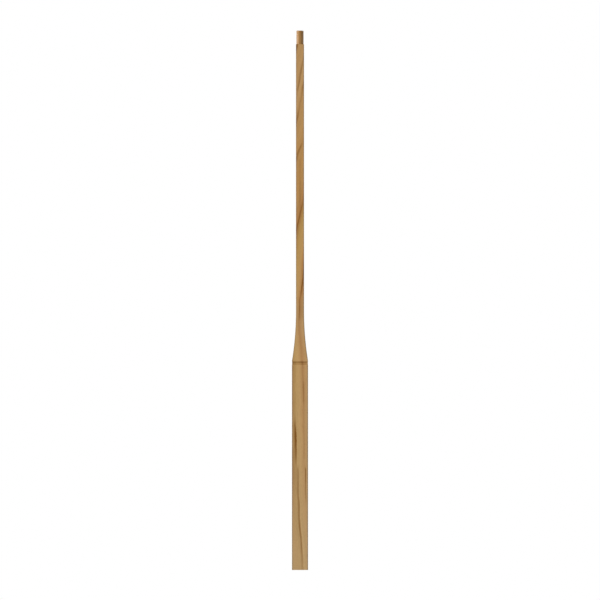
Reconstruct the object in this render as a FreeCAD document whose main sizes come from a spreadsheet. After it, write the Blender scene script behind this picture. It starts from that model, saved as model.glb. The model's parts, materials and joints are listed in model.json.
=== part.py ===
"""A pin-top stair baluster, machined from one square stick of hardwood.

It stands on its foot, with the middle of the foot at the origin and +Z up. From the foot up it has
a square block, a shallow V groove across each face, a flare that sweeps in from the block to a slim
square shaft, and a round pin that goes into a hole under the handrail. Sizes are millimetres.
"""
import FreeCAD, Part
import math
import os
import Sketcher

# Driving sizes, from the foot up
SIZES = (
    ("overall_length", 1066.8, "Foot to the tip of the pin, 42 in"),
    ("block_width", 31.75, "Side of the square stick, kept whole at the block, 1-1/4 in"),
    ("block_height", 405.6, "Foot to the lower edge of the groove, 15-31/32 in"),
    ("groove_height", 7.94, "Lower edge to upper edge of the groove, 5/16 in"),
    ("groove_depth", 0.8, "Face of the block to the root of the groove, 1/32 in"),
    ("groove_root", 0.5, "Flat along the root, as the blunt tip of the cutter leaves it"),
    ("flare_height", 99.2, "Upper edge of the groove to where the shaft runs straight, 3-29/32 in"),
    ("shaft_width", 15.88, "Side of the square shaft, 5/8 in"),
    ("pin_diameter", 14.29, "Across the round pin, 9/16 in"),
    ("pin_length", 27.0, "Shoulder of the shaft to the tip of the pin, 1-1/16 in"),
    ("pin_chamfer", 1.0, "Chamfer round the tip of the pin"),
    ("arris_radius", 0.5, "Rounding of the long edges, as sanding leaves them"),
)

# The first and last point of an edge, as a sketch numbers them
START = 1
END = 2
# The sketch's own origin, as a constraint names it
ORIGIN = (-1, 1)
# The two directions that a distance in a sketch can have
ACROSS = "DistanceX"
UPWARDS = "DistanceY"
# How near two coordinates are when they count as the same
SAME = 1e-4

doc = FreeCAD.newDocument("stair_baluster")
sheet = doc.addObject("Spreadsheet::Sheet", "sizes")
for row, (alias, value, meaning) in enumerate(SIZES, start=1):
    sheet.set(f"A{row}", meaning)
    sheet.set(f"B{row}", str(value))
    sheet.setAlias(f"B{row}", alias)
doc.recompute()
size = {alias: float(sheet.get(alias)) for alias, value, meaning in SIZES}

# Levels and half widths that several cuts share, as formulas on the sheet
HALF_BLOCK = "sizes.block_width / 2"
HALF_SHAFT = "sizes.shaft_width / 2"
FLARE_FOOT = "sizes.block_height + sizes.groove_height"
FLARE_TOP = f"{FLARE_FOOT} + sizes.flare_height"
SHOULDER = "sizes.overall_length - sizes.pin_length"
GROOVE_MIDDLE = "sizes.block_height + sizes.groove_height / 2"
# The four walls of a groove slope alike, so each runs in by this much from its lip to the root
GROOVE_RUN = "(sizes.groove_height - sizes.groove_root) / 2"
# At the corners a groove is still half as deep as the edges' radius, so that their rounding ends in it
GROOVE_LENGTH = f"sizes.block_width + sizes.arris_radius / sizes.groove_depth * {GROOVE_RUN}"

# The same levels and half widths as numbers, where a sketch's first lines are drawn
half_block = size["block_width"] / 2
half_shaft = size["shaft_width"] / 2
pin_radius = size["pin_diameter"] / 2
flare_foot = size["block_height"] + size["groove_height"]
flare_top = flare_foot + size["flare_height"]
shoulder = size["overall_length"] - size["pin_length"]
# Every cutter runs this far from the middle, well past the faces of the stick
cutter_reach = size["block_width"]


def origin_feature(body, role):
    """The body's own origin plane or axis with this role."""
    return next(feature for feature in body.Origin.OriginFeatures if feature.Role == role)


def new_sketch(body, name, plane):
    """An empty sketch on one of the body's origin planes."""
    sketch = body.newObject("Sketcher::SketchObject", name)
    sketch.AttachmentSupport = [(origin_feature(body, plane), "")]
    sketch.MapMode = "FlatFace"
    return sketch


def add_line(sketch, start, end):
    """A straight edge, held upright or level where it is drawn so."""
    edge = sketch.addGeometry(Part.LineSegment(FreeCAD.Vector(*start), FreeCAD.Vector(*end)), False)
    if abs(start[0] - end[0]) < SAME:
        sketch.addConstraint(Sketcher.Constraint("Vertical", edge))
    elif abs(start[1] - end[1]) < SAME:
        sketch.addConstraint(Sketcher.Constraint("Horizontal", edge))
    return edge


def join(sketch, *edges):
    """Joins the end of each edge to the start of the next."""
    for edge, following in zip(edges, edges[1:]):
        sketch.addConstraint(Sketcher.Constraint("Coincident", edge, END, following, START))


def add_rectangle(sketch, half_width, low, high):
    """Four joined edges, from the lower left corner round by the lower right."""
    corners = [(-half_width, low), (half_width, low), (half_width, high), (-half_width, high)]
    edges = [add_line(sketch, corner, corners[number - 3]) for number, corner in enumerate(corners)]
    join(sketch, *edges, edges[0])
    return edges


def set_size(sketch, name, direction, first, second, formula):
    """A named distance between two points, across or upwards, that follows the sheet."""
    span = sketch.getPoint(*second) - sketch.getPoint(*first)
    drawn = span.x if direction == ACROSS else span.y
    number = sketch.addConstraint(Sketcher.Constraint(direction, *first, *second, drawn))
    sketch.renameConstraint(number, name)
    sketch.setExpression(f"Constraints.{name}", formula)


def check_cut(feature, volume_before):
    """Stops if a cut took nothing off the stick."""
    doc.recompute()
    removed = volume_before - feature.Shape.Volume
    if removed <= 0:
        raise RuntimeError(f"{feature.Label} removes nothing")
    print(f"{feature.Label} removes {removed / 1000:.2f} cm3")


def square_stick(body):
    """The planed square stick, cut to length."""
    sketch = new_sketch(body, "stick_end", "XY_Plane")
    edges = add_rectangle(sketch, half_block, -half_block, half_block)
    set_size(sketch, "width", ACROSS, (edges[0], START), (edges[0], END), "sizes.block_width")
    set_size(sketch, "depth", UPWARDS, (edges[1], START), (edges[1], END), "sizes.block_width")
    sketch.addConstraint(Sketcher.Constraint("Symmetric", edges[0], START, edges[1], END, *ORIGIN))
    stick = body.newObject("PartDesign::Pad", "square_stick")
    stick.Profile = sketch
    stick.setExpression("Length", "sizes.overall_length")
    doc.recompute()


def flare_cut(body):
    """The waste beside one face: a straight run down the shaft, then one arc out to the block.

    The arc leaves the shaft without a kink and reaches the full width at the groove, so its
    radius follows from the height of the flare and the step between the two widths.
    """
    step = half_block - half_shaft
    radius = (size["flare_height"] ** 2 + step ** 2) / (2 * step)
    centre = FreeCAD.Vector(half_shaft + radius, flare_top)
    circle = Part.Circle(centre, FreeCAD.Vector(0, 0, 1), radius)
    sweep = math.asin(size["flare_height"] / radius)
    top = size["overall_length"] + cutter_reach

    sketch = new_sketch(body, "flare_waste", "XZ_Plane")
    arc = sketch.addGeometry(Part.ArcOfCircle(circle, math.pi, math.pi + sweep), False)
    foot = add_line(sketch, (half_block, flare_foot), (cutter_reach, flare_foot))
    outside = add_line(sketch, (cutter_reach, flare_foot), (cutter_reach, top))
    lid = add_line(sketch, (cutter_reach, top), (half_shaft, top))
    shaft_face = add_line(sketch, (half_shaft, top), (half_shaft, flare_top))
    join(sketch, arc, foot, outside, lid, shaft_face)
    sketch.addConstraint(Sketcher.Constraint("Tangent", shaft_face, END, arc, START))
    set_size(sketch, "half_block", ACROSS, ORIGIN, (arc, END), HALF_BLOCK)
    set_size(sketch, "flare_foot", UPWARDS, ORIGIN, (arc, END), FLARE_FOOT)
    set_size(sketch, "half_shaft", ACROSS, ORIGIN, (arc, START), HALF_SHAFT)
    set_size(sketch, "flare_top", UPWARDS, ORIGIN, (arc, START), FLARE_TOP)
    set_size(sketch, "reach", ACROSS, ORIGIN, (outside, END), "sizes.block_width")
    set_size(sketch, "top", UPWARDS, ORIGIN, (outside, END), "sizes.overall_length + sizes.block_width")

    volume_before = body.Tip.Shape.Volume
    flare = body.newObject("PartDesign::Pocket", "flare_cut")
    flare.Profile = sketch
    flare.Type = "ThroughAll"
    flare.SideType = "Symmetric"
    check_cut(flare, volume_before)
    return flare


def groove_outline(body, name, half_length, half_height, length, height, out):
    """A rectangle across the middle of the groove, on a plane this far out from the stick's middle."""
    middle = size["block_height"] + size["groove_height"] / 2
    sketch = new_sketch(body, name, "XZ_Plane")
    sketch.setExpression("AttachmentOffset.Base.z", out)
    edges = add_rectangle(sketch, half_length, middle - half_height, middle + half_height)
    set_size(sketch, "length", ACROSS, (edges[0], START), (edges[0], END), length)
    set_size(sketch, "half_length", ACROSS, ORIGIN, (edges[0], END), f"({length}) / 2")
    set_size(sketch, "height", UPWARDS, (edges[1], START), (edges[1], END), height)
    set_size(sketch, "top", UPWARDS, ORIGIN, (edges[1], END), f"{GROOVE_MIDDLE} + ({height}) / 2")
    return sketch


def groove_cut(body):
    """The V groove across one face: its walls slope in to a narrow root, at its two ends as well."""
    run = (size["groove_height"] - size["groove_root"]) / 2
    half_length = half_block + size["arris_radius"] / size["groove_depth"] * run / 2
    lip = groove_outline(
        body, "groove_lip", half_length, size["groove_height"] / 2,
        GROOVE_LENGTH, "sizes.groove_height", HALF_BLOCK)
    root = groove_outline(
        body, "groove_root", half_length - run, size["groove_root"] / 2,
        f"{GROOVE_LENGTH} - 2 * {GROOVE_RUN}", "sizes.groove_root", f"{HALF_BLOCK} - sizes.groove_depth")
    volume_before = body.Tip.Shape.Volume
    groove = body.newObject("PartDesign::SubtractiveLoft", "groove_cut")
    groove.Profile = lip
    groove.Sections = [root]
    groove.Ruled = True
    check_cut(groove, volume_before)
    return groove


def on_four_faces(body, cuts):
    """Repeats the cuts of one face on the other three, a quarter turn apart."""
    volume_before = body.Tip.Shape.Volume
    pattern = body.newObject("PartDesign::PolarPattern", "four_faces")
    pattern.Originals = cuts
    pattern.Axis = (origin_feature(body, "Z_Axis"), [""])
    pattern.Angle = 360
    pattern.Occurrences = 4
    body.Tip = pattern
    check_cut(pattern, volume_before)


def is_long_edge(edge):
    """Whether an edge runs up a corner of the stick, apart from where the grooves meet."""
    middle = edge.CenterOfMass
    on_corner = abs(abs(middle.x) - abs(middle.y)) < SAME and abs(middle.x) > SAME
    in_groove = size["block_height"] < middle.z < flare_foot
    return on_corner and not in_groove


def eased_edges(body):
    """Rounds the long edges of the block, the flare and the shaft."""
    base = body.Tip
    names = [f"Edge{number}" for number, edge in enumerate(base.Shape.Edges, start=1) if is_long_edge(edge)]
    fillet = body.newObject("PartDesign::Fillet", "eased_edges")
    fillet.Base = (base, names)
    fillet.setExpression("Radius", "sizes.arris_radius")
    check_cut(fillet, base.Shape.Volume)


def turned_pin(body):
    """The round pin, turned on the end of the shaft with a flat shoulder and a chamfered tip."""
    tip = size["overall_length"]
    chamfer = size["pin_chamfer"]
    wall_top = (pin_radius, tip - chamfer)
    tip_rim = (pin_radius - chamfer, tip)

    sketch = new_sketch(body, "pin_waste", "XZ_Plane")
    wall = add_line(sketch, (pin_radius, shoulder), wall_top)
    bevel = add_line(sketch, wall_top, tip_rim)
    lid = add_line(sketch, tip_rim, (cutter_reach, tip))
    outside = add_line(sketch, (cutter_reach, tip), (cutter_reach, shoulder))
    seat = add_line(sketch, (cutter_reach, shoulder), (pin_radius, shoulder))
    join(sketch, wall, bevel, lid, outside, seat, wall)
    set_size(sketch, "radius", ACROSS, ORIGIN, (wall, START), "sizes.pin_diameter / 2")
    set_size(sketch, "shoulder", UPWARDS, ORIGIN, (wall, START), SHOULDER)
    set_size(sketch, "tip", UPWARDS, ORIGIN, (bevel, END), "sizes.overall_length")
    set_size(sketch, "bevel_run", ACROSS, (bevel, END), (bevel, START), "sizes.pin_chamfer")
    set_size(sketch, "bevel_rise", UPWARDS, (bevel, START), (bevel, END), "sizes.pin_chamfer")
    set_size(sketch, "reach", ACROSS, ORIGIN, (lid, END), "sizes.block_width")

    volume_before = body.Tip.Shape.Volume
    turning = body.newObject("PartDesign::Groove", "turned_pin")
    turning.Profile = sketch
    turning.ReferenceAxis = (sketch, ["V_Axis"])
    turning.Angle = 360
    check_cut(turning, volume_before)


baluster = doc.addObject("PartDesign::Body", "baluster")
baluster.Label = "baluster"
baluster.Placement = FreeCAD.Placement()
square_stick(baluster)
on_four_faces(baluster, [flare_cut(baluster), groove_cut(baluster)])
eased_edges(baluster)
turned_pin(baluster)
doc.recompute()

failed = [item.Label for item in doc.Objects if {"Invalid", "Error"} & set(item.State)]
if failed:
    raise RuntimeError(f"Failed: {', '.join(failed)}")
shape = baluster.Shape
if shape.isNull() or not shape.isValid() or len(shape.Solids) != 1:
    raise RuntimeError("The baluster is not one valid solid")

os.makedirs("parts", exist_ok=True)
shape.exportStep(f"parts/{baluster.Label}.step")
print(f"{baluster.Label}: {shape.Volume / 1000:.1f} cm3, {len(shape.Faces)} faces")
print(shape.optimalBoundingBox())
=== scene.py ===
# %% [markdown]
# A stair baluster in hardwood
#
# The real object is one stick of hardwood. It keeps its full square section at the foot, sweeps in
# to a slim square shaft, and ends in a round pin for a hole under the handrail. This lesson rebuilds
# its skin with Geometry Nodes, gives it a solid wood that runs right through it, and lights it as a
# plain studio picture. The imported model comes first, because the main sizes are read from it.

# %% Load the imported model
import json
import math

import bpy
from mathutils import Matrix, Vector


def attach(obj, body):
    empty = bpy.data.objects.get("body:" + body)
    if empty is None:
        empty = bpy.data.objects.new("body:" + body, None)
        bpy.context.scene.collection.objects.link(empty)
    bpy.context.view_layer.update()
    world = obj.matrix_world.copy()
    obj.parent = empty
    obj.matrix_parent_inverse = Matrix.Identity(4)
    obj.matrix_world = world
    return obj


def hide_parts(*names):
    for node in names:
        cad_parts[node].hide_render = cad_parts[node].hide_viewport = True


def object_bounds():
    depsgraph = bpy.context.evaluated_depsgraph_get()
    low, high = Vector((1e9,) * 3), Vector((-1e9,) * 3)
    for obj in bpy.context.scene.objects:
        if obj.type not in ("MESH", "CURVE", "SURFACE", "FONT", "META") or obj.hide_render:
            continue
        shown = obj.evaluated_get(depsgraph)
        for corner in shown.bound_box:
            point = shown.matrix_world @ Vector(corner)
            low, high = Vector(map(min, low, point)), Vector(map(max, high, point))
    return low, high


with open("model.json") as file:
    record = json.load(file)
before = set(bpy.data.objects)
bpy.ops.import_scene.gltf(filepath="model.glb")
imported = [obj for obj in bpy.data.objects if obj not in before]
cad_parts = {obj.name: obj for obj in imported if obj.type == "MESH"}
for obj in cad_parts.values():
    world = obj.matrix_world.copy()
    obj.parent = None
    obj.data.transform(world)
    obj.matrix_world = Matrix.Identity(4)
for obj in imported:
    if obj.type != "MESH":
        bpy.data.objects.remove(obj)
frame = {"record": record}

CAD_LOW, CAD_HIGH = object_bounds()
print("CAD box, metres:", tuple(CAD_LOW), tuple(CAD_HIGH))

# %% [markdown]
# The camera
#
# The picture looks straight at one face from half way up, and its upright edges show no perspective
# at all. A very long lens would come close, but an orthographic camera is simply exact. Its scale is
# the height of the whole square picture, so one pixel is the baluster's length over the pixels that
# the baluster covers.

# %% Put the camera where the picture was taken
MM = 0.001
PICTURE_SIDE_PX = 600
PIN_TIP_PX = 30.55
FOOT_PX = 570.0
CAMERA_DISTANCE = 3.0

metres_per_px = (CAD_HIGH.z - CAD_LOW.z) / (FOOT_PX - PIN_TIP_PX)
camera_height = (FOOT_PX - PICTURE_SIDE_PX / 2) * metres_per_px

camera_data = bpy.data.cameras.new("picture_camera")
camera_data.type = "ORTHO"
camera_data.ortho_scale = PICTURE_SIDE_PX * metres_per_px
camera = bpy.data.objects.new("picture_camera", camera_data)
camera.location = (0.0, -CAMERA_DISTANCE, camera_height)
camera.rotation_euler = (math.radians(90), 0, 0)
bpy.context.scene.collection.objects.link(camera)
bpy.context.scene.camera = camera
print(f"One pixel is {metres_per_px / MM:.3f} mm")

# %% [markdown]
# A helper for nodes
#
# Geometry and materials below are both node trees. Adding a node by hand means making it, setting
# its options and plugging in each input, so one small function does all three. An input may be given
# as a plain value, as a socket or as a whole node, whose first output is then plugged in.

# %% Define the helper
def add_node(tree, kind, inputs=None, items=0, **settings):
    """Adds a node with its options and extra items, then fills its inputs with links or values."""
    node = tree.nodes.new(kind)
    for name, value in settings.items():
        setattr(node, name, value)
    for _ in range(items):
        node.index_switch_items.new()
    for key, value in (inputs or {}).items():
        if isinstance(value, bpy.types.Node):
            value = next(socket for socket in value.outputs if socket.enabled)
        if isinstance(value, bpy.types.NodeSocket):
            tree.links.new(value, node.inputs[key])
        else:
            node.inputs[key].default_value = value
    return node


print("Helper ready:", add_node.__name__)

# %% [markdown]
# The sizes
#
# A planer, a shaper and a lathe make this piece, and each needs only a few settings. The overall
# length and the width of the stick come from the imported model's box, and the pin from the mount that
# the record states for it. The rest are the settings of the cutters.

# %% Gather the sizes, in metres
PIN_CHAMFER = 1.0 * MM

pin_mount = next(mount for mount in frame["record"]["mounts"] if mount["name"] == "rail_pin")
SIZES = {
    "Overall Length": CAD_HIGH.z - CAD_LOW.z,
    "Block Width": CAD_HIGH.x - CAD_LOW.x,
    "Block Height": 405.6 * MM,
    "Groove Height": 7.94 * MM,
    "Groove Depth": 0.8 * MM,
    "Groove Root": 0.5 * MM,
    "Flare Height": 99.2 * MM,
    "Shaft Width": 15.88 * MM,
    "Pin Diameter": 2 * pin_mount["dims"]["r_mm"] * MM,
    "Pin Length": pin_mount["dims"]["length_mm"] * MM + PIN_CHAMFER,
    "Pin Chamfer": PIN_CHAMFER,
    "Arris Radius": 0.5 * MM,
}
for name, value in SIZES.items():
    print(f"{name}: {value / MM:.2f} mm")

# %% [markdown]
# The rule of the shape
#
# Cut level at any height, the stick is a square with rounded corners, and the pin is the same with
# corners so round that they meet. So the whole skin is one grid of points: each row is a level, and
# each column keeps its place round the section. Two short rules then put every point in its place.
# The first gives the half width of the section at each level. The second lays the row round a
# rounded square of that half width. A Screw modifier could only turn a round section, and a loft of
# drawn sections would need many of them for the flare, which here is one formula.

# %% Start the tree, with a named input for each size
SIDES = 4
ARC_STEPS = 12
FACE_POINTS = 2
QUARTER = ARC_STEPS + 1 + FACE_POINTS
COLUMNS = SIDES * QUARTER + 1
STATIONS = 15
FLARE_STATION = 8
FLARE_STEPS = 24
ROWS = STATIONS + FLARE_STEPS

shape = bpy.data.node_groups.new("square_tapered_stick", "GeometryNodeTree")
shape.interface.new_socket("Geometry", in_out="OUTPUT", socket_type="NodeSocketGeometry")
shape.interface.new_socket("Geometry", in_out="INPUT", socket_type="NodeSocketGeometry")
for name in SIZES:
    shape.interface.new_socket(name, in_out="INPUT", socket_type="NodeSocketFloat")
shape.interface.new_socket("Wood", in_out="INPUT", socket_type="NodeSocketMaterial")
given = shape.nodes.new("NodeGroupInput").outputs

grid = add_node(shape, "GeometryNodeMeshGrid", {"Vertices X": ROWS, "Vertices Y": COLUMNS})
index = add_node(shape, "GeometryNodeInputIndex")
row = add_node(shape, "FunctionNodeIntegerMath", {0: index, 1: COLUMNS}, operation="DIVIDE_FLOOR")
column = add_node(shape, "FunctionNodeIntegerMath", {0: index, 1: COLUMNS}, operation="MODULO")
print(f"A grid of {ROWS} rows and {COLUMNS} columns")

# %% [markdown]
# Stations
#
# Most levels are single stations: the foot, the groove's lips and root, the shoulder, the pin. Two
# more cut the length in thirds for the UV map further down. Only the flare needs many rows, so its
# station is stretched over a run of them, and a share from 0 to 1 says how far up the flare a row
# lies.

# %% Find each row's station
past_flare = add_node(shape, "ShaderNodeMath", {0: row, 1: FLARE_STATION}, operation="SUBTRACT")
flare_row = add_node(shape, "ShaderNodeClamp", {"Value": past_flare, "Min": 0, "Max": FLARE_STEPS})
station = add_node(shape, "ShaderNodeMath", {0: row, 1: flare_row}, operation="SUBTRACT")
flare_share = add_node(shape, "ShaderNodeMath", {0: flare_row, 1: FLARE_STEPS}, operation="DIVIDE")
print(f"{STATIONS} stations, one of them stretched over {FLARE_STEPS} steps")

# %% [markdown]
# The groove
#
# The real groove is a shallow V with a narrow flat root. Its cutter rises again towards the two ends,
# so its end walls slope as its long walls do, and at the stick's corners only a little of its depth
# is left: half of the sanded edge's radius. In the grid that takes four more levels. The hips are the
# levels where the corner reaches its depth, and the end wall there turns off along a mitre.

# %% Work out the groove's levels
half_groove = add_node(shape, "ShaderNodeMath", {0: given["Groove Height"], 1: 0.5}, operation="MULTIPLY")
half_root = add_node(shape, "ShaderNodeMath", {0: given["Groove Root"], 1: 0.5}, operation="MULTIPLY")
groove_middle = add_node(shape, "ShaderNodeMath", {0: given["Block Height"], 1: half_groove})
root_low = add_node(shape, "ShaderNodeMath", {0: groove_middle, 1: half_root}, operation="SUBTRACT")
root_high = add_node(shape, "ShaderNodeMath", {0: groove_middle, 1: half_root})

wall_run = add_node(shape, "ShaderNodeMath", {0: half_groove, 1: half_root}, operation="SUBTRACT")
end_depth = add_node(shape, "ShaderNodeMath", {0: given["Arris Radius"], 1: 0.5}, operation="MULTIPLY")
end_share = add_node(shape, "ShaderNodeMath", {0: end_depth, 1: given["Groove Depth"]}, operation="DIVIDE")
hip_rise = add_node(shape, "ShaderNodeMath", {0: end_share, 1: wall_run}, operation="MULTIPLY")
flare_foot = add_node(shape, "ShaderNodeMath", {0: given["Block Height"], 1: given["Groove Height"]})
hip_low = add_node(shape, "ShaderNodeMath", {0: given["Block Height"], 1: hip_rise})
hip_high = add_node(shape, "ShaderNodeMath", {0: flare_foot, 1: hip_rise}, operation="SUBTRACT")
print(f"The groove is {SIZES['Groove Height'] / MM:.2f} mm high and {SIZES['Groove Depth'] / MM:.2f} mm deep")

# %% [markdown]
# Levels
#
# With the groove settled, the other levels are sums of the sizes, and an Index Switch picks each
# row's level by its station. A new Index Switch has two items, so the others are added to it. The foot
# and the tip each have two stations at one level: the middle of the end and its rim.

# %% Give each station its level
ADDED_ITEMS = STATIONS - 2

flare_top = add_node(shape, "ShaderNodeMath", {0: flare_foot, 1: given["Flare Height"]})
flare_level = add_node(
    shape, "ShaderNodeMath",
    {0: flare_share, 1: given["Flare Height"], 2: flare_foot}, operation="MULTIPLY_ADD")
third = add_node(shape, "ShaderNodeMath", {0: given["Overall Length"], 1: 3.0}, operation="DIVIDE")
two_thirds = add_node(shape, "ShaderNodeMath", {0: third, 1: 2.0}, operation="MULTIPLY")
shoulder = add_node(
    shape, "ShaderNodeMath", {0: given["Overall Length"], 1: given["Pin Length"]}, operation="SUBTRACT")
wall_top = add_node(
    shape, "ShaderNodeMath", {0: given["Overall Length"], 1: given["Pin Chamfer"]}, operation="SUBTRACT")

levels = {
    "0": 0.0, "1": 0.0, "2": third, "3": given["Block Height"], "4": hip_low, "5": root_low,
    "6": root_high, "7": hip_high, "8": flare_level, "9": two_thirds, "10": shoulder, "11": shoulder,
    "12": wall_top, "13": given["Overall Length"], "14": given["Overall Length"],
}
level = add_node(
    shape, "GeometryNodeIndexSwitch", {"Index": station, **levels}, items=ADDED_ITEMS, data_type="FLOAT")
print(f"{len(levels)} levels")

# %% [markdown]
# The flare
#
# The flare is one arc. It leaves the shaft without a kink and has to reach the block's full width
# over the height of the flare, which fixes its radius. How far a level lies below the top of the
# flare then gives the step out from the shaft. Below the flare that distance is held, so the same
# formula gives the straight block too.

# %% Work out the arc
half_block = add_node(shape, "ShaderNodeMath", {0: given["Block Width"], 1: 0.5}, operation="MULTIPLY")
half_shaft = add_node(shape, "ShaderNodeMath", {0: given["Shaft Width"], 1: 0.5}, operation="MULTIPLY")
step = add_node(shape, "ShaderNodeMath", {0: half_block, 1: half_shaft}, operation="SUBTRACT")
slope = add_node(shape, "ShaderNodeMath", {0: given["Flare Height"], 1: step}, operation="DIVIDE")
spread = add_node(shape, "ShaderNodeMath", {0: slope, 1: slope, 2: 1.0}, operation="MULTIPLY_ADD")
half_step = add_node(shape, "ShaderNodeMath", {0: step, 1: 0.5}, operation="MULTIPLY")
radius = add_node(shape, "ShaderNodeMath", {0: spread, 1: half_step}, operation="MULTIPLY")

below = add_node(shape, "ShaderNodeMath", {0: flare_top, 1: level}, operation="SUBTRACT")
drop = add_node(shape, "ShaderNodeClamp", {"Value": below, "Min": 0.0, "Max": given["Flare Height"]})
drop_share = add_node(shape, "ShaderNodeMath", {0: drop, 1: radius}, operation="DIVIDE")
turn = add_node(shape, "ShaderNodeMath", {0: drop_share}, operation="ARCSINE")
along = add_node(shape, "ShaderNodeMath", {0: turn}, operation="COSINE")
bulge = add_node(shape, "ShaderNodeMath", {0: 1.0, 1: along}, operation="SUBTRACT")
flared = add_node(shape, "ShaderNodeMath", {0: bulge, 1: radius, 2: half_shaft}, operation="MULTIPLY_ADD")
stick = add_node(shape, "ShaderNodeMath", {0: flared, 1: half_block}, operation="MINIMUM")

step_out = (SIZES["Block Width"] - SIZES["Shaft Width"]) / 2
arc_radius = (SIZES["Flare Height"] ** 2 + step_out ** 2) / (2 * step_out)
print(f"The flare steps out {step_out / MM:.2f} mm on an arc of {arc_radius / MM:.0f} mm radius")

# %% [markdown]
# Half width and corner at each station
#
# Each station now gets a half width and a corner radius. In the groove the half width is less by the
# depth that is left at the corners. On the pin both are the pin's own radius, which turns the square
# into a circle, and at the middles of the two ends both are nothing.

# %% Pick them by station
pin = add_node(shape, "ShaderNodeMath", {0: given["Pin Diameter"], 1: 0.5}, operation="MULTIPLY")
tip = add_node(shape, "ShaderNodeMath", {0: pin, 1: given["Pin Chamfer"]}, operation="SUBTRACT")
grooved = add_node(shape, "ShaderNodeMath", {0: half_block, 1: end_depth}, operation="SUBTRACT")

PLAIN_STATIONS = ("1", "2", "3", "8", "9", "10")
GROOVE_STATIONS = ("4", "5", "6", "7")
round_halves = {"0": 0.0, "11": pin, "12": pin, "13": tip, "14": 0.0}
square_halves = {**dict.fromkeys(PLAIN_STATIONS, stick), **dict.fromkeys(GROOVE_STATIONS, grooved)}
square_corners = dict.fromkeys(PLAIN_STATIONS + GROOVE_STATIONS, given["Arris Radius"])
half = add_node(
    shape, "GeometryNodeIndexSwitch", {"Index": station, **square_halves, **round_halves},
    items=ADDED_ITEMS, data_type="FLOAT")
corner = add_node(
    shape, "GeometryNodeIndexSwitch", {"Index": station, **square_corners, **round_halves},
    items=ADDED_ITEMS, data_type="FLOAT")
print(f"{len(square_halves)} stations are square and {len(round_halves)} are round")

# %% [markdown]
# Round the corner
#
# The section has four like quarters, so one is worked out and then turned. It starts by going round
# its corner in equal turns of the angle. On the pin, where the corner radius is the whole half width,
# that alone draws a quarter of the circle.

# %% Place a quarter's points round its corner
RIGHT_ANGLE = math.pi / 2

quarter = add_node(shape, "FunctionNodeIntegerMath", {0: column, 1: QUARTER}, operation="DIVIDE_FLOOR")
place = add_node(shape, "FunctionNodeIntegerMath", {0: column, 1: QUARTER}, operation="MODULO")
angle = add_node(
    shape, "ShaderNodeMapRange",
    {"Value": place, "From Min": 0.0, "From Max": ARC_STEPS, "To Min": 0.0, "To Max": RIGHT_ANGLE})
across = add_node(shape, "ShaderNodeMath", {0: angle}, operation="COSINE")
away = add_node(shape, "ShaderNodeMath", {0: angle}, operation="SINE")
inset = add_node(shape, "ShaderNodeMath", {0: half, 1: corner}, operation="SUBTRACT")
corner_x = add_node(shape, "ShaderNodeMath", {0: across, 1: corner, 2: inset}, operation="MULTIPLY_ADD")
corner_y = add_node(shape, "ShaderNodeMath", {0: away, 1: corner, 2: inset}, operation="MULTIPLY_ADD")
print(f"{ARC_STEPS} turns to each corner")

# %% [markdown]
# Cross the face
#
# The quarter then crosses the next face with two points, near and far. They stand where the groove's
# end walls reach its root. At other levels they hold the face flat, so that smooth shading rounds the
# sanded edge and little else. Both start from the corner's last point, and a pull, which is 1 at the
# corner and negative past the middle of the face, brings them into place. On the pin that last point
# lies in the middle, where a pull moves nothing, and the weld further down removes them.

# %% Pull the last two points in along the face
NEAR_PLACE = ARC_STEPS + 1
FAR_PLACE = ARC_STEPS + FACE_POINTS

hip_run = add_node(shape, "ShaderNodeMath", {0: wall_run, 1: hip_rise}, operation="SUBTRACT")
root_end = add_node(shape, "ShaderNodeMath", {0: half_block, 1: hip_run}, operation="SUBTRACT")
face_end = add_node(shape, "ShaderNodeMath", {0: half_block, 1: given["Arris Radius"]}, operation="SUBTRACT")
root_share = add_node(shape, "ShaderNodeMath", {0: root_end, 1: face_end}, operation="DIVIDE")
near_pull = add_node(
    shape, "ShaderNodeMapRange",
    {"Value": place, "From Min": ARC_STEPS, "From Max": NEAR_PLACE, "To Min": 1.0, "To Max": root_share})
far_pull = add_node(
    shape, "ShaderNodeMapRange",
    {"Value": place, "From Min": NEAR_PLACE, "From Max": FAR_PLACE, "To Min": 1.0, "To Max": -1.0})
pull = add_node(shape, "ShaderNodeMath", {0: near_pull, 1: far_pull}, operation="MULTIPLY")
point_x = add_node(shape, "ShaderNodeMath", {0: corner_x, 1: pull}, operation="MULTIPLY")
print(f"{FACE_POINTS} points cross each face")

# %% [markdown]
# Into the groove, and round the stick
#
# At the two levels of the groove's root these two points alone dip to the full depth, and the corners
# stay where they are. Then each quarter is turned into its place round the stick.

# %% Dip the two points, and turn each quarter
off_middle = add_node(shape, "ShaderNodeMath", {0: level, 1: groove_middle}, operation="SUBTRACT")
off_middle = add_node(shape, "ShaderNodeMath", {0: off_middle}, operation="ABSOLUTE")
at_root = add_node(
    shape, "FunctionNodeCompare", {0: off_middle, 1: given["Groove Root"]}, operation="LESS_THAN")
on_face = add_node(shape, "FunctionNodeCompare", {0: place, 1: ARC_STEPS + 0.5}, operation="GREATER_THAN")
dips = add_node(shape, "ShaderNodeMath", {0: at_root, 1: on_face}, operation="MULTIPLY")
full_dip = add_node(shape, "ShaderNodeMath", {0: given["Groove Depth"], 1: end_depth}, operation="SUBTRACT")
dip = add_node(shape, "ShaderNodeMath", {0: dips, 1: full_dip}, operation="MULTIPLY")
point_y = add_node(shape, "ShaderNodeMath", {0: corner_y, 1: dip}, operation="SUBTRACT")

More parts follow.
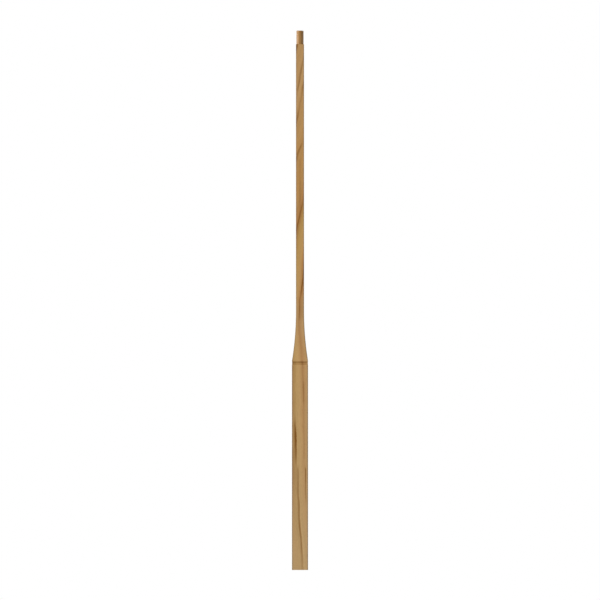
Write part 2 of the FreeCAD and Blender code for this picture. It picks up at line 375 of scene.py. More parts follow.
point = add_node(shape, "ShaderNodeCombineXYZ", {"X": point_x, "Y": point_y, "Z": level})
quarter_turn = add_node(shape, "ShaderNodeMath", {0: quarter, 1: RIGHT_ANGLE}, operation="MULTIPLY")
turned = add_node(
    shape, "ShaderNodeVectorRotate", {"Vector": point, "Angle": quarter_turn}, rotation_type="Z_AXIS")
lofted = add_node(shape, "GeometryNodeSetPosition", {"Geometry": grid, "Position": turned})
print(f"{QUARTER} points to each quarter of a row")

# %% [markdown]
# Mark the sanded edges
#
# Sanding rounds the long edges a little, and the wood is drawn darker along them, as thin dark
# lines. The material can't know where an edge is, so the points on the corners carry a mark for it: 1
# on a square section's corner, 0 elsewhere. It fades over the millimetre or two to the next point.

# %% Store the edge mark
has_face = add_node(
    shape, "FunctionNodeCompare", {0: inset, 1: given["Arris Radius"]}, operation="GREATER_THAN")
on_corner = add_node(
    shape, "ShaderNodeMath", {0: has_face, 1: on_face}, operation="SUBTRACT", use_clamp=True)
edged = add_node(
    shape, "GeometryNodeStoreNamedAttribute",
    {"Geometry": lofted, "Name": "sanded_edge", "Value": on_corner}, data_type="FLOAT", domain="POINT")
print("The edges carry the mark", edged.inputs["Name"].default_value)

# %% [markdown]
# Close the skin
#
# Rolled up this way, the grid's faces look inwards, so they are flipped first. The last column lies on
# the first, and the first and last rows shrink to the middles of the foot and the tip, so welding
# points that share a place closes the skin all round. The groove's mitres run along the longer
# diagonals of their four-sided faces, so those faces are split there. Edges that turn by more than a
# few degrees stay crisp.

# %% Weld, split and shade
WELD = 0.001 * MM
CRISP_ANGLE = math.radians(9)

outward = add_node(shape, "GeometryNodeFlipFaces", {"Mesh": edged})
welded = add_node(shape, "GeometryNodeMergeByDistance", {"Geometry": outward, "Distance": WELD})
position = add_node(shape, "ShaderNodeSeparateXYZ", {0: add_node(shape, "GeometryNodeInputPosition")})
height = position.outputs["Z"]
to_groove = add_node(shape, "ShaderNodeMath", {0: height, 1: groove_middle}, operation="SUBTRACT")
to_groove = add_node(shape, "ShaderNodeMath", {0: to_groove}, operation="ABSOLUTE")
in_groove = add_node(shape, "FunctionNodeCompare", {0: to_groove, 1: half_groove}, operation="LESS_THAN")
mitred = add_node(
    shape, "GeometryNodeTriangulate", {"Mesh": welded, "Selection": in_groove},
    quad_method="LONGEST_DIAGONAL")

turn_at_edge = add_node(shape, "GeometryNodeInputMeshEdgeAngle")
is_smooth = add_node(
    shape, "FunctionNodeCompare", {0: turn_at_edge, 1: CRISP_ANGLE}, operation="LESS_THAN")
smooth_faces = add_node(shape, "GeometryNodeSetShadeSmooth", {"Geometry": mitred, "Shade Smooth": True})
smoothed = add_node(
    shape, "GeometryNodeSetShadeSmooth",
    {"Geometry": smooth_faces, "Shade Smooth": is_smooth}, domain="EDGE")
print(f"Edges that turn by more than {math.degrees(CRISP_ANGLE):.0f} degrees stay crisp")

# %% [markdown]
# Mark the cut ends, and paint the groove's shade
#
# Where a cutter crosses the fibres, the cut ends of the wood drink more finish and dry darker. That
# is strongest on the foot, the shoulder and the tip. The groove's root gets the full mark too, which is
# painted shade in the bottom of the recess. The groove's walls cross the fibres at a slant and get a
# part of it, by how far they face up or down, and its ends hardly any. The roof, which faces down, gets
# more than the floor, as painted shade from light above. The whole pin is made darker too.

# %% Work out each face's share
END_SLOPE = 0.5
# Painted shade: the groove's downward-facing roof is darkened more than its upward-facing floor.
GROOVE_ROOF_SHARE = -4.4
GROOVE_FLOOR_SHARE = 3.15
GROOVE_END_SHARE = 0.1
PIN_SHARE = 0.8

facing = add_node(shape, "ShaderNodeSeparateXYZ", {0: add_node(shape, "GeometryNodeInputNormal")})
upright = add_node(shape, "ShaderNodeMath", {0: facing.outputs["Z"]}, operation="ABSOLUTE")
is_end = add_node(shape, "FunctionNodeCompare", {0: upright, 1: END_SLOPE}, operation="GREATER_THAN")
wall_share = GROOVE_END_SHARE
for slope_share in (GROOVE_ROOF_SHARE, GROOVE_FLOOR_SHARE):
    by_slope = add_node(
        shape, "ShaderNodeMath", {0: facing.outputs["Z"], 1: slope_share}, operation="MULTIPLY")
    wall_share = add_node(shape, "ShaderNodeMath", {0: wall_share, 1: by_slope}, operation="MAXIMUM")
groove_mark = add_node(shape, "ShaderNodeMath", {0: in_groove, 1: wall_share}, operation="MULTIPLY")
is_pin = add_node(shape, "FunctionNodeCompare", {0: height, 1: shoulder}, operation="GREATER_THAN")
pin_mark = add_node(shape, "ShaderNodeMath", {0: is_pin, 1: PIN_SHARE}, operation="MULTIPLY")
# The root's full mark is painted shade in the bottom of the groove.
is_root = add_node(
    shape, "FunctionNodeCompare", {0: to_groove, 1: given["Groove Root"]}, operation="LESS_THAN")
cut_across_and_shade = is_end
for mark in (is_root, groove_mark, pin_mark):
    cut_across_and_shade = add_node(shape, "ShaderNodeMath", {0: cut_across_and_shade, 1: mark}, operation="MAXIMUM")
print(f"The pin's share is {PIN_SHARE:.0%}")

# %% [markdown]
# Paint the shade on the groove's roof, darker towards its root
#
# The roof is painted light at its lip and dark below, as painted shade that deepens towards the root.
# A share that is the same all over a face can't show that. Stored at the corners of each face instead,
# it may change across the face and still stop short at an edge. A Mix node has a pair of sockets for
# each kind of value, all with the same two names, so they are picked by number.

# %% Store the cut and shade mark, and end the tree
# Painted shade: the roof's mark rises from its lip towards the root.
ROOF_LIP_FADE = 0.25
ROOF_ROOT_FADE = 1.5
ROOF_SLOPE = -0.1
FLOAT_A = 2
FLOAT_B = 3

faces_down = add_node(
    shape, "FunctionNodeCompare", {0: facing.outputs["Z"], 1: ROOF_SLOPE}, operation="LESS_THAN")
roof = add_node(shape, "ShaderNodeMath", {0: faces_down, 1: in_groove}, operation="MULTIPLY")
roof_face = add_node(shape, "GeometryNodeFieldOnDomain", {0: roof}, domain="FACE")
face_share = add_node(shape, "GeometryNodeFieldOnDomain", {0: cut_across_and_shade}, domain="FACE")
to_root = add_node(
    shape, "ShaderNodeMapRange",
    {"Value": to_groove, "From Min": half_groove, "From Max": 0.0, "To Min": ROOF_LIP_FADE,
     "To Max": ROOF_ROOT_FADE})
fade = add_node(shape, "ShaderNodeMix", {0: roof_face, FLOAT_A: 1.0, FLOAT_B: to_root})
corner_share = add_node(shape, "ShaderNodeMath", {0: face_share, 1: fade}, operation="MULTIPLY")
marked = add_node(
    shape, "GeometryNodeStoreNamedAttribute",
    {"Geometry": smoothed, "Name": "cut_across_and_shade", "Value": corner_share}, data_type="FLOAT",
    domain="CORNER")

realized = add_node(shape, "GeometryNodeRealizeInstances", {"Geometry": marked})
finished = add_node(
    shape, "GeometryNodeSetMaterial", {"Geometry": realized, "Material": given["Wood"]})
add_node(shape, "NodeGroupOutput", {"Geometry": finished})
print(f"{len(shape.nodes)} nodes in the tree")

# %% [markdown]
# Colours
#
# Colours are written as they look on a screen, as hex values. Blender's nodes work in linear light,
# so one function turns the first into the second.

# %% Define the colour function
def linear(hex_colour):
    """Turns an sRGB hex colour into linear red, green, blue and alpha."""
    channels = [int(hex_colour[start:start + 2], 16) / 255 for start in (1, 3, 5)]
    return [c / 12.92 if c <= 0.04045 else ((c + 0.055) / 1.055) ** 2.4 for c in channels] + [1.0]


print(f"Half way up the hex scale is {linear('#808080')[0]:.2f} in linear light")

# %% [markdown]
# Alder, planed and sanded
#
# Alder is an even, fine wood, tan with a touch of red or olive, with faint growth rings and now and
# then a thin dark streak. Sanded and satin finished, it shows soft long fibres, short pores and a low
# sheen. A picture of wood wrapped round the stick would break at every edge. A real stick is cut out
# of a tree, so here the pattern fills space: its rings lie round the tree's middle, the pith, which
# passes behind and to the left of the stick. The tree wasn't straight, so its pith wanders sideways
# with height. That alone makes the streaks slant over the shaft, run straight down the block, turn
# the corners correctly and show as arcs on the foot.

# %% Start the wood, with coordinates in millimetres
alder = bpy.data.materials.new("sanded_alder")
alder.use_nodes = True
wood = alder.node_tree
wood.nodes.clear()

coordinates = add_node(wood, "ShaderNodeTexCoord")
in_mm = add_node(
    wood, "ShaderNodeMapping",
    {"Vector": coordinates.outputs["Object"], "Scale": (1 / MM, 1 / MM, 1 / MM)})
at = add_node(wood, "ShaderNodeSeparateXYZ", {"Vector": in_mm}).outputs
length_mm = SIZES["Overall Length"] / MM
height_share = add_node(wood, "ShaderNodeMath", {0: at["Z"], 1: length_mm}, operation="DIVIDE")
print(f"The wood is {length_mm:.1f} mm long")

# %% [markdown]
# Things that change with height
#
# Three things change along the stick: how far the pith leans, how far the wood turns to a paler and
# greyer khaki towards the foot, and how strong its dark streaks are, because a streak starts and dies
# out somewhere in the tree. There are six sets of streaks: those of the shaft, the one that runs on
# into the block, a short one half way up the block, a broad brown one below it, a thin one near the
# edge, and the one that reaches the foot. A faint line of gum on the shaft makes a seventh. So nine
# curves over the height hold all of this. A point is a height in millimetres and a value there. The
# points were set and corrected by comparing one render after another with the picture.

# %% Choose the points of the curves
HEIGHT_CURVES = {
    "lean": (
        (0, 26.4), (60, 21.1), (90, 19.3), (120, 17.8), (170, 16.2), (217, 15.5), (265, 15.2), (289, 13.4),
        (346, 13.7), (400, 12.7), (430, 7.8), (455, 2.7), (482, -1.4), (530, -0.6), (544, 1.6), (562, 4),
        (597, 6.9), (620, 8.8), (675, 17), (738, 31), (820, 44), (855, 57), (885, 64), (945, 75),
        (1067, 98),
    ),
    "khaki": (
        (0, 0.85), (350, 0.39), (430, 0.31), (470, 0.35), (505, 0.42), (525, 0.35), (540, 0.15),
        (560, 0.09), (640, 0), (1067, 0),
    ),
    "shaft": (
        (0, 0), (412, 0), (422, 0.22), (475, 0.22), (495, 0.42), (512, 0.9), (522, 0.8), (535, 0.6),
        (548, 0.9), (562, 1), (620, 0.8), (680, 1), (720, 0.8), (750, 0.5), (800, 0.5), (820, 0.9),
        (836, 0.9), (848, 0.25), (870, 0.4), (890, 0.95), (912, 0.35), (932, 0.32), (950, 0.7),
        (965, 0.88), (990, 0.85), (1015, 0.6), (1035, 1), (1046, 0), (1067, 0),
    ),
    "block": (
        (0, 0), (205, 0), (225, 0.28), (242, 0.33), (270, 0.33), (300, 0.22), (318, 0.22), (334, 0.6),
        (348, 0.66), (360, 0.74), (371, 0.48), (380, 0.24), (398, 0.22), (412, 0.4), (421, 0), (1067, 0),
    ),
    "short": (
        (0, 0), (192, 0), (204, 0.3), (217, 0.55), (230, 0.75), (244, 0.9), (262, 1), (275, 0.9),
        (290, 0.55), (300, 0.35), (316, 0.12), (330, 0), (1067, 0),
    ),
    "brown": (
        (0, 0), (90, 0), (130, 0.13), (165, 0.24), (190, 0.33), (225, 0.33), (245, 0.18), (265, 0.05),
        (295, 0.1), (315, 0.2), (400, 0.2), (412, 0.1), (425, 0), (1067, 0),
    ),
    "thin": (
        (0, 0), (115, 0), (140, 0.4), (170, 0.6), (190, 0.9), (202, 0.6), (211, 0), (1067, 0),
    ),
    "foot": (
        (0, 0.4), (30, 0.6), (60, 0.8), (95, 0.85), (125, 0.75), (170, 0.6), (190, 0.55), (203, 0.35),
        (212, 0), (1067, 0),
    ),
    "gum": (
        (0, 0), (695, 0), (715, 0.7), (745, 1), (790, 0.9), (812, 0.5), (830, 0), (1067, 0),
    ),
}
print(f"{len(HEIGHT_CURVES)} curves")

# %% [markdown]
# Draw the curves
#
# A Float Curve runs from 0 to 1 both ways. So heights become shares of the length and values become
# shares of a range, and a Map Range turns the result back into a value. A new curve has two points.
# They become its ends, and the others are added between them.

# %% Draw a Float Curve for each
LEAN_RANGE_MM = (-10.0, 110.0)
SHARE_RANGE = (0.0, 1.0)

by_height = {}
for name, points in HEIGHT_CURVES.items():
    lowest, highest = LEAN_RANGE_MM if name == "lean" else SHARE_RANGE
    drawn = add_node(wood, "ShaderNodeFloatCurve", {"Value": height_share})
    spots = [(z / points[-1][0], (value - lowest) / (highest - lowest)) for z, value in points]
    curve = drawn.mapping.curves[0]
    curve.points[0].location = spots[0]
    curve.points[1].location = spots[-1]
    for spot in spots[1:-1]:
        curve.points.new(*spot)
    drawn.mapping.update()
    by_height[name] = add_node(
        wood, "ShaderNodeMapRange", {"Value": drawn, "To Min": lowest, "To Max": highest})
    print(f"{name}: {len(points)} points")

# %% [markdown]
# Rings round the pith
#
# A growth ring keeps its distance from the pith, give or take a slow wobble. So the distance from
# the pith is the one number that the pattern mostly follows, and the angle round the pith is the
# other. With the height they make the tree's own coordinates. The wobble is a noise. Most of a noise
# lies between a quarter and three quarters, so that is taken as its range here and further down.

# %% Measure the distance from the pith, and the way round it
PITH_LEFT_MM = 153.0
PITH_BEHIND_MM = 128.6
WOBBLE_MM = 1.6
WOBBLE_SIZE_MM = 45.0
MEAN_RADIUS_MM = 200.0
NOISE_LOW = 0.25
NOISE_HIGH = 0.75

from_streak = add_node(wood, "ShaderNodeMath", {0: at["X"], 1: by_height["lean"]}, operation="SUBTRACT")
right = add_node(wood, "ShaderNodeMath", {0: from_streak, 1: PITH_LEFT_MM})
ahead = add_node(wood, "ShaderNodeMath", {0: at["Y"], 1: PITH_BEHIND_MM}, operation="SUBTRACT")
level_place = add_node(wood, "ShaderNodeCombineXYZ", {"X": right, "Y": ahead})
distance = add_node(wood, "ShaderNodeVectorMath", {0: level_place}, operation="LENGTH").outputs["Value"]
bearing = add_node(wood, "ShaderNodeMath", {0: right, 1: ahead}, operation="ARCTAN2")
wobble_noise = add_node(wood, "ShaderNodeTexNoise", {"Vector": in_mm, "Scale": 1 / WOBBLE_SIZE_MM})
wobble = add_node(
    wood, "ShaderNodeMapRange",
    {"Value": wobble_noise, "From Min": NOISE_LOW, "From Max": NOISE_HIGH, "To Min": -WOBBLE_MM / 2,
     "To Max": WOBBLE_MM / 2})
ring = add_node(wood, "ShaderNodeMath", {0: distance, 1: wobble})
around = add_node(wood, "ShaderNodeMath", {0: bearing, 1: MEAN_RADIUS_MM}, operation="MULTIPLY")
print(f"The pith passes {PITH_LEFT_MM} mm left of the main streak and {PITH_BEHIND_MM} mm behind")

# %% [markdown]
# Zones and streaks
#
# Between one growth ring and the next the wood is a little more red or more olive, and a few rings
# end in a thin dark line that is crisp on one side and fades on the other. Colour ramps over the
# distance from the pith hold these: one for the zones and one for each set of streaks. Their places
# are given as they cross the front of the shaft, in millimetres from the main streak, which is how
# they can be measured with a ruler. Each comes with a colour, or with a share of darkness.

# %% Choose the zones and streaks
ZONES = (
    (-110, "#AF8855"), (-98, "#AE8754"), (-84, "#B08957"), (-78, "#B48D5B"), (-71, "#AD8450"),
    (-60, "#B18852"), (-51, "#B0844D"), (-43, "#AC824C"), (-38, "#B0834A"), (-33, "#AB824D"),
    (-29, "#A87B47"), (-24, "#A57541"), (-21, "#A67A43"), (-17, "#AB8549"), (-13, "#AF8A4F"),
    (-8, "#B48D55"), (-5, "#B28750"), (-1.5, "#AC7B45"), (1, "#A97643"), (6, "#AF8552"),
    (14, "#B28A58"), (40, "#B28A58"),
)
STREAKS = {
    "shaft": (
        (-101, 0.0), (-99, 0.9), (-97.6, 0.9), (-96, 0.0),
        (-83.5, 0.0), (-81.6, 0.35), (-80.4, 0.9), (-79, 0.0),
        (-74.5, 0.0), (-71.8, 0.6), (-70.6, 0.8), (-69.2, 0.0),
        (-51, 0.0), (-49.8, 0.85), (-48.4, 0.75), (-45.5, 0.0),
        (-24.8, 0.0), (-23.3, 0.8), (-22.4, 0.74), (-21, 0.15), (-17.5, 0.0),
        (-6, 0.0), (-1.4, 0.16), (-0.6, 1.0), (0.6, 0.95), (1.4, 0.45), (4, 0.32), (9, 0.26), (16, 0.0),
    ),
    "block": ((-1.3, 0.0), (-0.5, 0.9), (0.5, 0.85), (1.4, 0.25), (5, 0.0)),
    "short": (
        (-32, 0.0), (-23.5, 0.1), (-19.5, 0.17), (-17.8, 0.45), (-15.7, 1.0), (-13.9, 1.0), (-12.7, 0.0),
    ),
    "brown": ((-32, 0.0), (-28.5, 0.9), (-16.8, 0.9), (-14, 0.75), (-12.6, 0.0)),
    "thin": ((0.8, 0.0), (1.6, 0.9), (2.6, 0.9), (3.6, 0.1), (8, 0.0)),
    "foot": ((-30, 0.0), (-24, 0.05), (-15, 0.18), (-12, 0.9), (-11, 0.85), (-9.6, 0.0)),
}
print(f"{len(ZONES)} colours of wood and {len(STREAKS)} sets of streaks")

# %% [markdown]
# Ramps over the distance
#
# Each place on the front of the shaft is turned into a distance from the pith. A ramp runs from 0 to
# 1, so the nearest and the furthest ring that it has to hold stand for these. A new ramp has two
# stops. They become its ends, and the others are added between them.

# %% Fill the ramps
HALF_SHAFT_MM = SIZES["Shaft Width"] / MM / 2
NEAREST_RING_MM = 110.0
FURTHEST_RING_MM = 250.0


def ramp_place(offset_mm):
    """Gives the place on a ramp of a ring that crosses the shaft's front this far from the main streak."""
    from_pith = math.hypot(PITH_LEFT_MM + offset_mm, PITH_BEHIND_MM + HALF_SHAFT_MM)
    return (from_pith - NEAREST_RING_MM) / (FURTHEST_RING_MM - NEAREST_RING_MM)


ring_share = add_node(
    wood, "ShaderNodeMapRange",
    {"Value": ring, "From Min": NEAREST_RING_MM, "From Max": FURTHEST_RING_MM})
ramp_stops = {"zones": [(offset, linear(colour)) for offset, colour in ZONES]}
for name, stops in STREAKS.items():
    ramp_stops[name] = [(offset, (dark, dark, dark, 1.0)) for offset, dark in stops]
ramps = {}
for name, stops in ramp_stops.items():
    ramps[name] = add_node(wood, "ShaderNodeValToRGB", {"Fac": ring_share})
    elements = ramps[name].color_ramp.elements
    elements[0].position = ramp_place(stops[0][0])
    elements[0].color = stops[0][1]
    elements[-1].position = ramp_place(stops[-1][0])
    elements[-1].color = stops[-1][1]
    for offset, colour in stops[1:-1]:
        elements.new(ramp_place(offset)).color = colour
    print(f"{name}: {len(stops)} stops")

# %% [markdown]
# A line of gum
#
# One faint line keeps out of this pattern. Gum has filled a fine crack there, which runs straight up
# the middle of the shaft while the rings slant across it. A crack is a thin sheet, so the distance
# from the stick's middle plane is all that it needs, strongest in the middle and fading to both sides.

# %% Make the line
GUM_CORE_MM = 0.5
GUM_REACH_MM = 3.2
GUM_SHARE = 0.27

off_middle_plane = add_node(wood, "ShaderNodeMath", {0: at["X"]}, operation="ABSOLUTE")
gum = add_node(
    wood, "ShaderNodeMapRange",
    {"Value": off_middle_plane, "From Min": GUM_CORE_MM, "From Max": GUM_REACH_MM, "To Min": GUM_SHARE,
     "To Max": 0.0}, interpolation_type="SMOOTHSTEP")
print(f"The line fades over {GUM_REACH_MM} mm to each side")

# %% [markdown]
# Fibres, pores and slow changes
#
# Close up, the wood is drawn out along the tree: growth rings a few millimetres wide and as long as a
# hand, fibres finer than that, and pores that show as short dashes. Each is a noise on the tree's own
# coordinates with the height squeezed, so that its grains come out long. The rings are also drawn out
# round the pith, which gives arcs on the cut ends. Real fibres and pores are finer than a tenth of a
# millimetre, too fine to show at any of these distances, so they are drawn as the bundles that the
# eye makes of them. A slower noise, the fade, breaks up the streaks. Each has its width in
# millimetres, how many times that it reaches along the tree and round the pith, and its detail.

# %% Make the noises
GRAINS = {
    "band": (2.2, 45.0, 10.0, 2.0),
    "fibre": (0.7, 45.0, 1.0, 3.0),
    "pore": (0.4, 14.0, 1.0, 0.0),
    "fade": (9.0, 5.0, 1.0, 1.0),
}

noises = {}
for name, (size_mm, stretch, arc_stretch, detail) in GRAINS.items():
    long_z = add_node(wood, "ShaderNodeMath", {0: at["Z"], 1: stretch}, operation="DIVIDE")
    long_arc = add_node(wood, "ShaderNodeMath", {0: around, 1: arc_stretch}, operation="DIVIDE")
    grain = add_node(wood, "ShaderNodeCombineXYZ", {"X": ring, "Y": long_arc, "Z": long_z})
    noises[name] = add_node(
        wood, "ShaderNodeTexNoise", {"Vector": grain, "Scale": 1 / size_mm, "Detail": detail})
    print(f"{name}: {size_mm} mm wide, {size_mm * stretch:.0f} mm long")

# %% [markdown]
# The colour of the wood
#
# The zones come first, and khaki is mixed into them by its curve. Each set of streaks, and the line of
# gum with them, is weighed by its own curve, and the darkest counts. The fade breaks the result up a
# little before it is mixed in as a dark brown.

# %% Mix the zones and streaks
KHAKI = "#B6986B"
STREAK_BROWN = "#774A06"
FADE_LOW = 0.3
FADE_HIGH = 0.6
FAINTEST = 0.8
STRONGEST = 1.14
COLOUR_A = 6
COLOUR_B = 7

ground = add_node(
    wood, "ShaderNodeMix",
    {0: by_height["khaki"], COLOUR_A: ramps["zones"], COLOUR_B: linear(KHAKI)}, data_type="RGBA")

dark_lines = {name: ramps[name] for name in STREAKS}
dark_lines["gum"] = gum
darkest = 0.0
for name, line in dark_lines.items():
    weighed = add_node(wood, "ShaderNodeMath", {0: line, 1: by_height[name]}, operation="MULTIPLY")
    darkest = add_node(wood, "ShaderNodeMath", {0: darkest, 1: weighed}, operation="MAXIMUM")
broken = add_node(
    wood, "ShaderNodeMapRange",
    {"Value": noises["fade"], "From Min": FADE_LOW, "From Max": FADE_HIGH, "To Min": FAINTEST,
     "To Max": STRONGEST})
streak = add_node(wood, "ShaderNodeMath", {0: darkest, 1: broken}, operation="MULTIPLY")
streaked = add_node(
    wood, "ShaderNodeMix", {0: streak, COLOUR_A: ground, COLOUR_B: linear(STREAK_BROWN)}, data_type="RGBA")
print(f"Khaki {KHAKI} towards the foot, streaks of {STREAK_BROWN}")

# %% [markdown]
# Grain and sanded edges
#
# The fine noises lighten and darken that colour a little. For each, the first two numbers say which
# stretch of the noise counts, and the other two how light the wood is at its ends. The mark along the
# sanded edges darkens the wood too, except where an edge bounds a cut end.

# %% Shade by the grain and the edges
EDGE_DARK = 0.56
SHADES = {
    "pore": (0.60, 0.72, 1.0, 0.86),
    "band": (NOISE_LOW, NOISE_HIGH, 0.94, 1.06),
    "fibre": (NOISE_LOW, NOISE_HIGH, 0.94, 1.06),
}

shades = {}
for name, (start, end, light_start, light_end) in SHADES.items():
    shades[name] = add_node(
        wood, "ShaderNodeMapRange",
        {"Value": noises[name], "From Min": start, "From Max": end, "To Min": light_start,
         "To Max": light_end})
# This mark darkens the cut ends and also carries the painted shade in the groove.
cut_and_shade_mark = add_node(wood, "ShaderNodeAttribute", attribute_name="cut_across_and_shade").outputs["Fac"]
edge_mark = add_node(wood, "ShaderNodeAttribute", attribute_name="sanded_edge").outputs["Fac"]
edge_share = add_node(
    wood, "ShaderNodeMath", {0: edge_mark, 1: cut_and_shade_mark}, operation="SUBTRACT", use_clamp=True)
edge_shade = add_node(wood, "ShaderNodeMapRange", {"Value": edge_share, "To Min": 1.0, "To Max": EDGE_DARK})

grain_light = add_node(
    wood, "ShaderNodeMath", {0: shades["band"], 1: shades["fibre"]}, operation="MULTIPLY")
grain_light = add_node(wood, "ShaderNodeMath", {0: grain_light, 1: shades["pore"]}, operation="MULTIPLY")
light = add_node(wood, "ShaderNodeMath", {0: grain_light, 1: edge_shade}, operation="MULTIPLY")
print(f"Shaded by {', '.join(shades)} and by the edges, down to {EDGE_DARK:.0%}")

# %% [markdown]
# Tool marks and painted groove shade
#
# Where the cutters crossed the fibres, the finish soaks in and the wood turns both darker and warmer,
# more so between the growth rings' hard lines. The same mark also carries the painted shade in the
# groove. Multiplying the colour by a warm grey gives both, and the grain stays visible in it.

# %% Let the finish soak in, and paint the groove's shade
# The warm grey below darkens the cut ends and paints the groove's shade.
SOAK_AND_SHADE_GREY = "#C9B893"
SOFT_BAND = 0.35
HARD_BAND = 0.65
HARD_SOAK = 0.7

ring_soak = add_node(
    wood, "ShaderNodeMapRange",
    {"Value": noises["band"], "From Min": SOFT_BAND, "From Max": HARD_BAND, "To Min": 1.0,
     "To Max": HARD_SOAK})
soak_and_shade_share = add_node(wood, "ShaderNodeMath", {0: cut_and_shade_mark, 1: ring_soak}, operation="MULTIPLY")
soaked_and_shaded = add_node(
    wood, "ShaderNodeMix", {0: soak_and_shade_share, COLOUR_A: streaked, COLOUR_B: linear(SOAK_AND_SHADE_GREY)},
    data_type="RGBA", blend_type="MULTIPLY")
colour = add_node(wood, "ShaderNodeVectorMath", {0: soaked_and_shaded, "Scale": light}, operation="SCALE")
print(f"Soaked wood is multiplied by {SOAK_AND_SHADE_GREY}")

# %% [markdown]
# The satin finish
#
# A thin satin finish fills most of the pores. It leaves a low sheen, a little sharper on the hard
# fibres than between them, and the grain can just be felt, which a slight bump gives.

# %% Finish the surface
SMOOTHEST = 0.26
ROUGHEST = 0.36
GRAIN_FEEL = 0.25
GRAIN_DEPTH = 0.1 * MM
FINISH_IOR = 1.5
FINISH_SPECULAR = 0.22

roughness = add_node(
    wood, "ShaderNodeMapRange",
    {"Value": noises["fibre"], "From Min": NOISE_LOW, "From Max": NOISE_HIGH, "To Min": SMOOTHEST,
     "To Max": ROUGHEST})
bump = add_node(
    wood, "ShaderNodeBump", {"Height": grain_light, "Strength": GRAIN_FEEL, "Distance": GRAIN_DEPTH})
satin = add_node(
    wood, "ShaderNodeBsdfPrincipled",
    {"Base Color": colour, "Roughness": roughness, "Normal": bump, "IOR": FINISH_IOR,
     "Specular IOR Level": FINISH_SPECULAR})
add_node(wood, "ShaderNodeOutputMaterial", {"Surface": satin})
print(f"{len(wood.nodes)} nodes in the wood")

# %% [markdown]
# Build the baluster
#
# The tree runs as a modifier on an empty mesh. Its inputs are set by their identifiers before it is
# first evaluated. The result becomes a plain mesh and the modifier goes, because the export takes
# plain meshes.

# %% Run the tree and keep its mesh
baluster = bpy.data.objects.new("wood_baluster", bpy.data.meshes.new("wood_baluster"))
bpy.context.scene.collection.objects.link(baluster)
modifier = baluster.modifiers.new("stick", "NODES")
modifier.node_group = shape
for item in shape.interface.items_tree:
    if item.in_out == "INPUT" and item.name in SIZES:
        modifier[item.identifier] = SIZES[item.name]
    if item.name == "Wood":
        modifier[item.identifier] = alder

evaluated = baluster.evaluated_get(bpy.context.evaluated_depsgraph_get())
skin = bpy.data.meshes.new_from_object(evaluated)
baluster.modifiers.clear()
baluster.data = skin
skin.name = "wood_baluster"
print(f"{len(skin.vertices)} points, {len(skin.polygons)} faces")

# %% [markdown]
# Lay the skin out flat
#
# The wood can be baked into one square picture, through a UV map. The stick is over thirty times
# as long as it is wide, so an automatic unwrap would leave most of that picture empty. Here the skin
# is laid out as a veneer cutter would: each side is cut in three at the thirds of the length, and the
# twelve strips lie side by side at one scale, with the foot, the shoulder and the tip beside them.

# %% Write the UV map
GAP = 1.5 * MM
STRIPS = 3

wide = SIZES["Block Width"] + GAP
slim = SIZES["Shaft Width"] + GAP
strip_length = SIZES["Overall Length"] / STRIPS
slim_strip = STRIPS - 1
ends_at = slim_strip * SIDES * wide + SIDES * slim
sheet_side = ends_at + wide
pin_middle = CAD_HIGH.z - SIZES["Pin Length"] / 2

sheet = skin.uv_layers.new(name="OFBake")
for face in skin.polygons:
    out = face.normal
    if abs(out.z) > END_SLOPE:
        end = 0 if out.z < 0 else 1 if face.center.z < pin_middle else 2
        start = (ends_at + wide / 2, (end + 0.5) * wide)
        axes = ((1, 0, 0), (0, 1, 0))
    else:
        strip = min(int(face.center.z / strip_length), slim_strip)
        side = round(math.atan2(out.x, -out.y) / RIGHT_ANGLE) % SIDES
        width = slim if strip == slim_strip else wide
        start = (strip * SIDES * wide + (side + 0.5) * width, GAP / 2 - strip * strip_length)
        axes = ((round(math.cos(side * RIGHT_ANGLE)), round(math.sin(side * RIGHT_ANGLE)), 0), (0, 0, 1))
    for loop in face.loop_indices:
        spot = skin.vertices[skin.loops[loop].vertex_index].co
        flat = [base + sum(a * b for a, b in zip(axis, spot)) for base, axis in zip(start, axes)]
        sheet.data[loop].uv = (flat[0] / sheet_side, flat[1] / sheet_side)
print(f"The skin fits on a sheet of {sheet_side / MM:.0f} mm")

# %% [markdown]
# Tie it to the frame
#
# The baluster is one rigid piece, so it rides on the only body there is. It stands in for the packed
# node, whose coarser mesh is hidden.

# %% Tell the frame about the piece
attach(baluster, "root")
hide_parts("baluster")

# %% [markdown]
# The floor
#
# The baluster stands on a plain studio table, and one large flat face is enough for that. It belongs
# to the stage and not to the part.

# %% Lay the floor
FLOOR_HALF = 6.0

corners = [(x * FLOOR_HALF, y * FLOOR_HALF, 0) for x, y in ((-1, -1), (1, -1), (1, 1), (-1, 1))]
floor_mesh = bpy.data.meshes.new("studio_floor")
floor_mesh.from_pydata(corners, [], [(0, 1, 2, 3)])
floor = bpy.data.objects.new("studio_floor", floor_mesh)
bpy.context.scene.collection.objects.link(floor)
print(f"A floor {2 * FLOOR_HALF:.0f} m across")

# %% [markdown]
# Matt white paper
#
# Matt paper on the table has no sheen, looks blank white to the camera and still takes a soft shadow.
# White all the way, it would throw too much light back at the foot. So it reflects light as a mid grey
# would, and a glow lifts it to white only where it is seen: by a ray straight from the camera, off a
# polished surface or through a clear one. A Light Path node tells these rays from the rest.

# %% Cover the floor with paper
WHITE = linear("#FFFFFF")
PAPER_GREY = linear("#AFAFAF")
PAPER_LIFT = 0.6


def is_seen(tree):
    """Adds a test that is 1 for a ray from the camera, off polish or through clear things, else 0."""
    rays = add_node(tree, "ShaderNodeLightPath").outputs
    seen = add_node(
        tree, "ShaderNodeMath", {0: rays["Is Camera Ray"], 1: rays["Is Glossy Ray"]}, operation="MAXIMUM")
    return add_node(tree, "ShaderNodeMath", {0: seen, 1: rays["Is Transmission Ray"]}, operation="MAXIMUM")


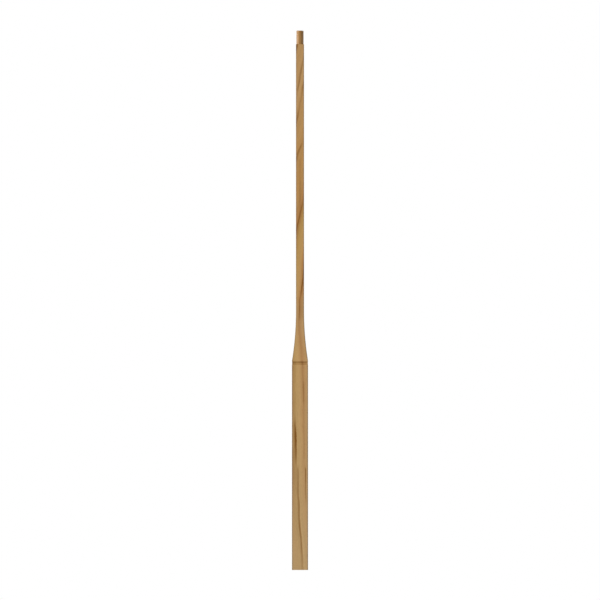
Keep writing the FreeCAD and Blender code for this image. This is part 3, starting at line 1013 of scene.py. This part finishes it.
paper = bpy.data.materials.new("matt_white_paper")
paper.use_nodes = True
pulp = paper.node_tree
pulp.nodes.clear()
glow = add_node(pulp, "ShaderNodeMath", {0: is_seen(pulp), 1: PAPER_LIFT}, operation="MULTIPLY")
matt = add_node(pulp, "ShaderNodeBsdfDiffuse", {"Color": PAPER_GREY})
lift = add_node(pulp, "ShaderNodeEmission", {"Color": WHITE, "Strength": glow})
both = add_node(pulp, "ShaderNodeAddShader", {0: matt, 1: lift})
add_node(pulp, "ShaderNodeOutputMaterial", {"Surface": both})
floor_mesh.materials.append(paper)
print(f"The paper reflects {PAPER_GREY[0]:.0%} of the light")

# %% [markdown]
# The lamps
#
# The picture's shading tells where its light stood: the pin is bright on its left and dark on its
# right, and the groove's upper wall is darker than its lower one. A large lamp far to the left and a
# little above gives that. The light line close to the pin's left edge needs a lamp still further
# round, level with the stick and just behind its left side, which the front face doesn't see at all.
# A third one behind and to the right keeps the back and the right side readable from other views. Sun
# lamps with a wide angle stand for large lamps, because their light is even over the whole length.
# Each has a strength and, in degrees, its place round to the left of the camera, its height and its
# width. Strength 1 lights a white surface that faces the lamp to full white, which takes a sun of pi.

# %% Set the three lamps
LAMPS = {
    "key_light": (1.03, 60.0, 13.5, 20.0),
    "side_light": (0.35, 100.0, 3.0, 20.0),
    "back_fill": (0.4, -140.0, 25.0, 40.0),
}
for name, (strength, to_left, rise, width) in LAMPS.items():
    lamp_data = bpy.data.lights.new(name, "SUN")
    lamp_data.energy = strength * math.pi
    lamp_data.angle = math.radians(width)
    lamp = bpy.data.objects.new(name, lamp_data)
    lamp.rotation_euler = (math.radians(90 - rise), 0, -math.radians(to_left))
    bpy.context.scene.collection.objects.link(lamp)
    side = "left" if to_left > 0 else "right"
    print(f"{name}: {abs(to_left):.0f} degrees to the {side}, {rise:.0f} up")

# %% [markdown]
# The air
#
# White walls all round fill the shadows. They light the wood at a moderate level, and by the same
# test as the paper they look plain white where they are seen.

# %% Set the world and the view
AMBIENT = 0.55
PLAIN_WHITE = 1.0

world = bpy.data.worlds.new("studio")
bpy.context.scene.world = world
world.use_nodes = True
air = world.node_tree
air.nodes.clear()
ambient = add_node(air, "ShaderNodeBackground", {"Color": WHITE, "Strength": AMBIENT})
plain = add_node(air, "ShaderNodeBackground", {"Color": WHITE, "Strength": PLAIN_WHITE})
chosen = add_node(air, "ShaderNodeMixShader", {0: is_seen(air), 1: ambient, 2: plain})
add_node(air, "ShaderNodeOutputWorld", {"Surface": chosen})
bpy.context.scene.view_settings.view_transform = "Standard"
print(f"Ambient light {AMBIENT}, white to the camera")
